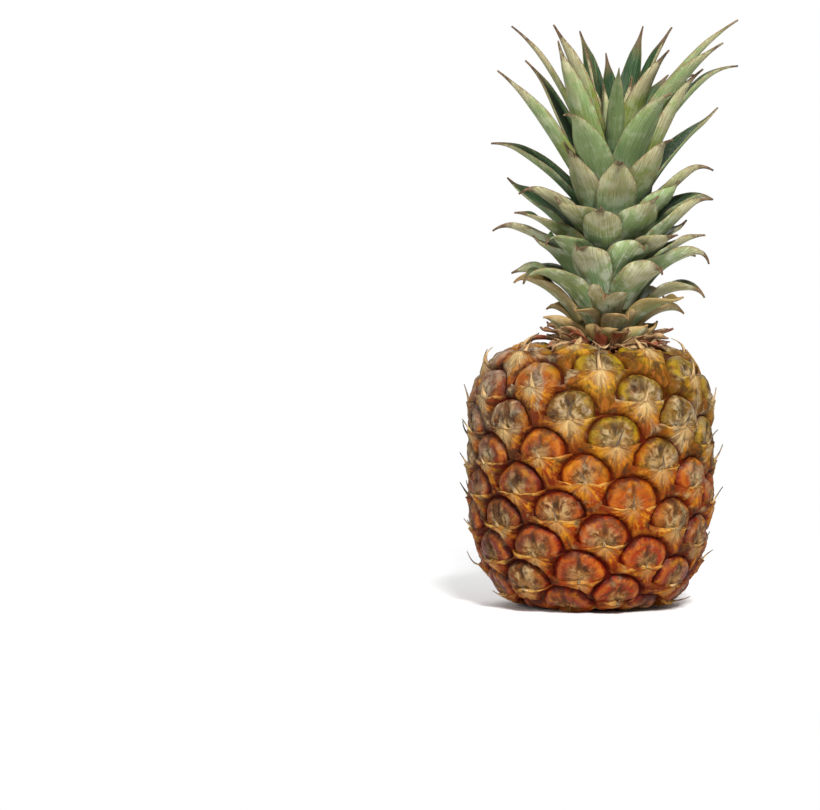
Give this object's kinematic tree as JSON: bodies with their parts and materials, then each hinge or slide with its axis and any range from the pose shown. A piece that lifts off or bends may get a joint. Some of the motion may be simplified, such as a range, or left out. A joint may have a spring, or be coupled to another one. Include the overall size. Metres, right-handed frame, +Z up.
{
  "type": "whole pineapple",
  "caption": "Whole pineapple with a barrel-shaped fruit of spiralling spiny eyes, a collar of dry bracts, a leafy crown and a cut stalk that it stands on.",
  "frame": {"origin": "centre of the cut stalk's flat face, on the surface that the fruit stands on", "axes": "+Z up along the fruit towards the crown; -Y is the side seen from the front; +X is to the right seen from the front"},
  "size_m": [0.1338, 0.127, 0.2827],
  "materials": {
    "fruit_skin": "waxy rind, olive to orange-red, with grey-brown eyes and straw-coloured bracts",
    "crown_leaf": "fibrous leaves, sage green outside, deep green inside, brown and dry at the tips",
    "dry_bract": "dry papery bracts, reddish brown",
    "cut_stalk": "dry cut fibre"
  },
  "bodies": {
    "root": {"fruit": "fruit_skin", "crown": "crown_leaf", "collar_bracts": "dry_bract", "cut_stalk": "cut_stalk"}
  },
  "joints": []
}
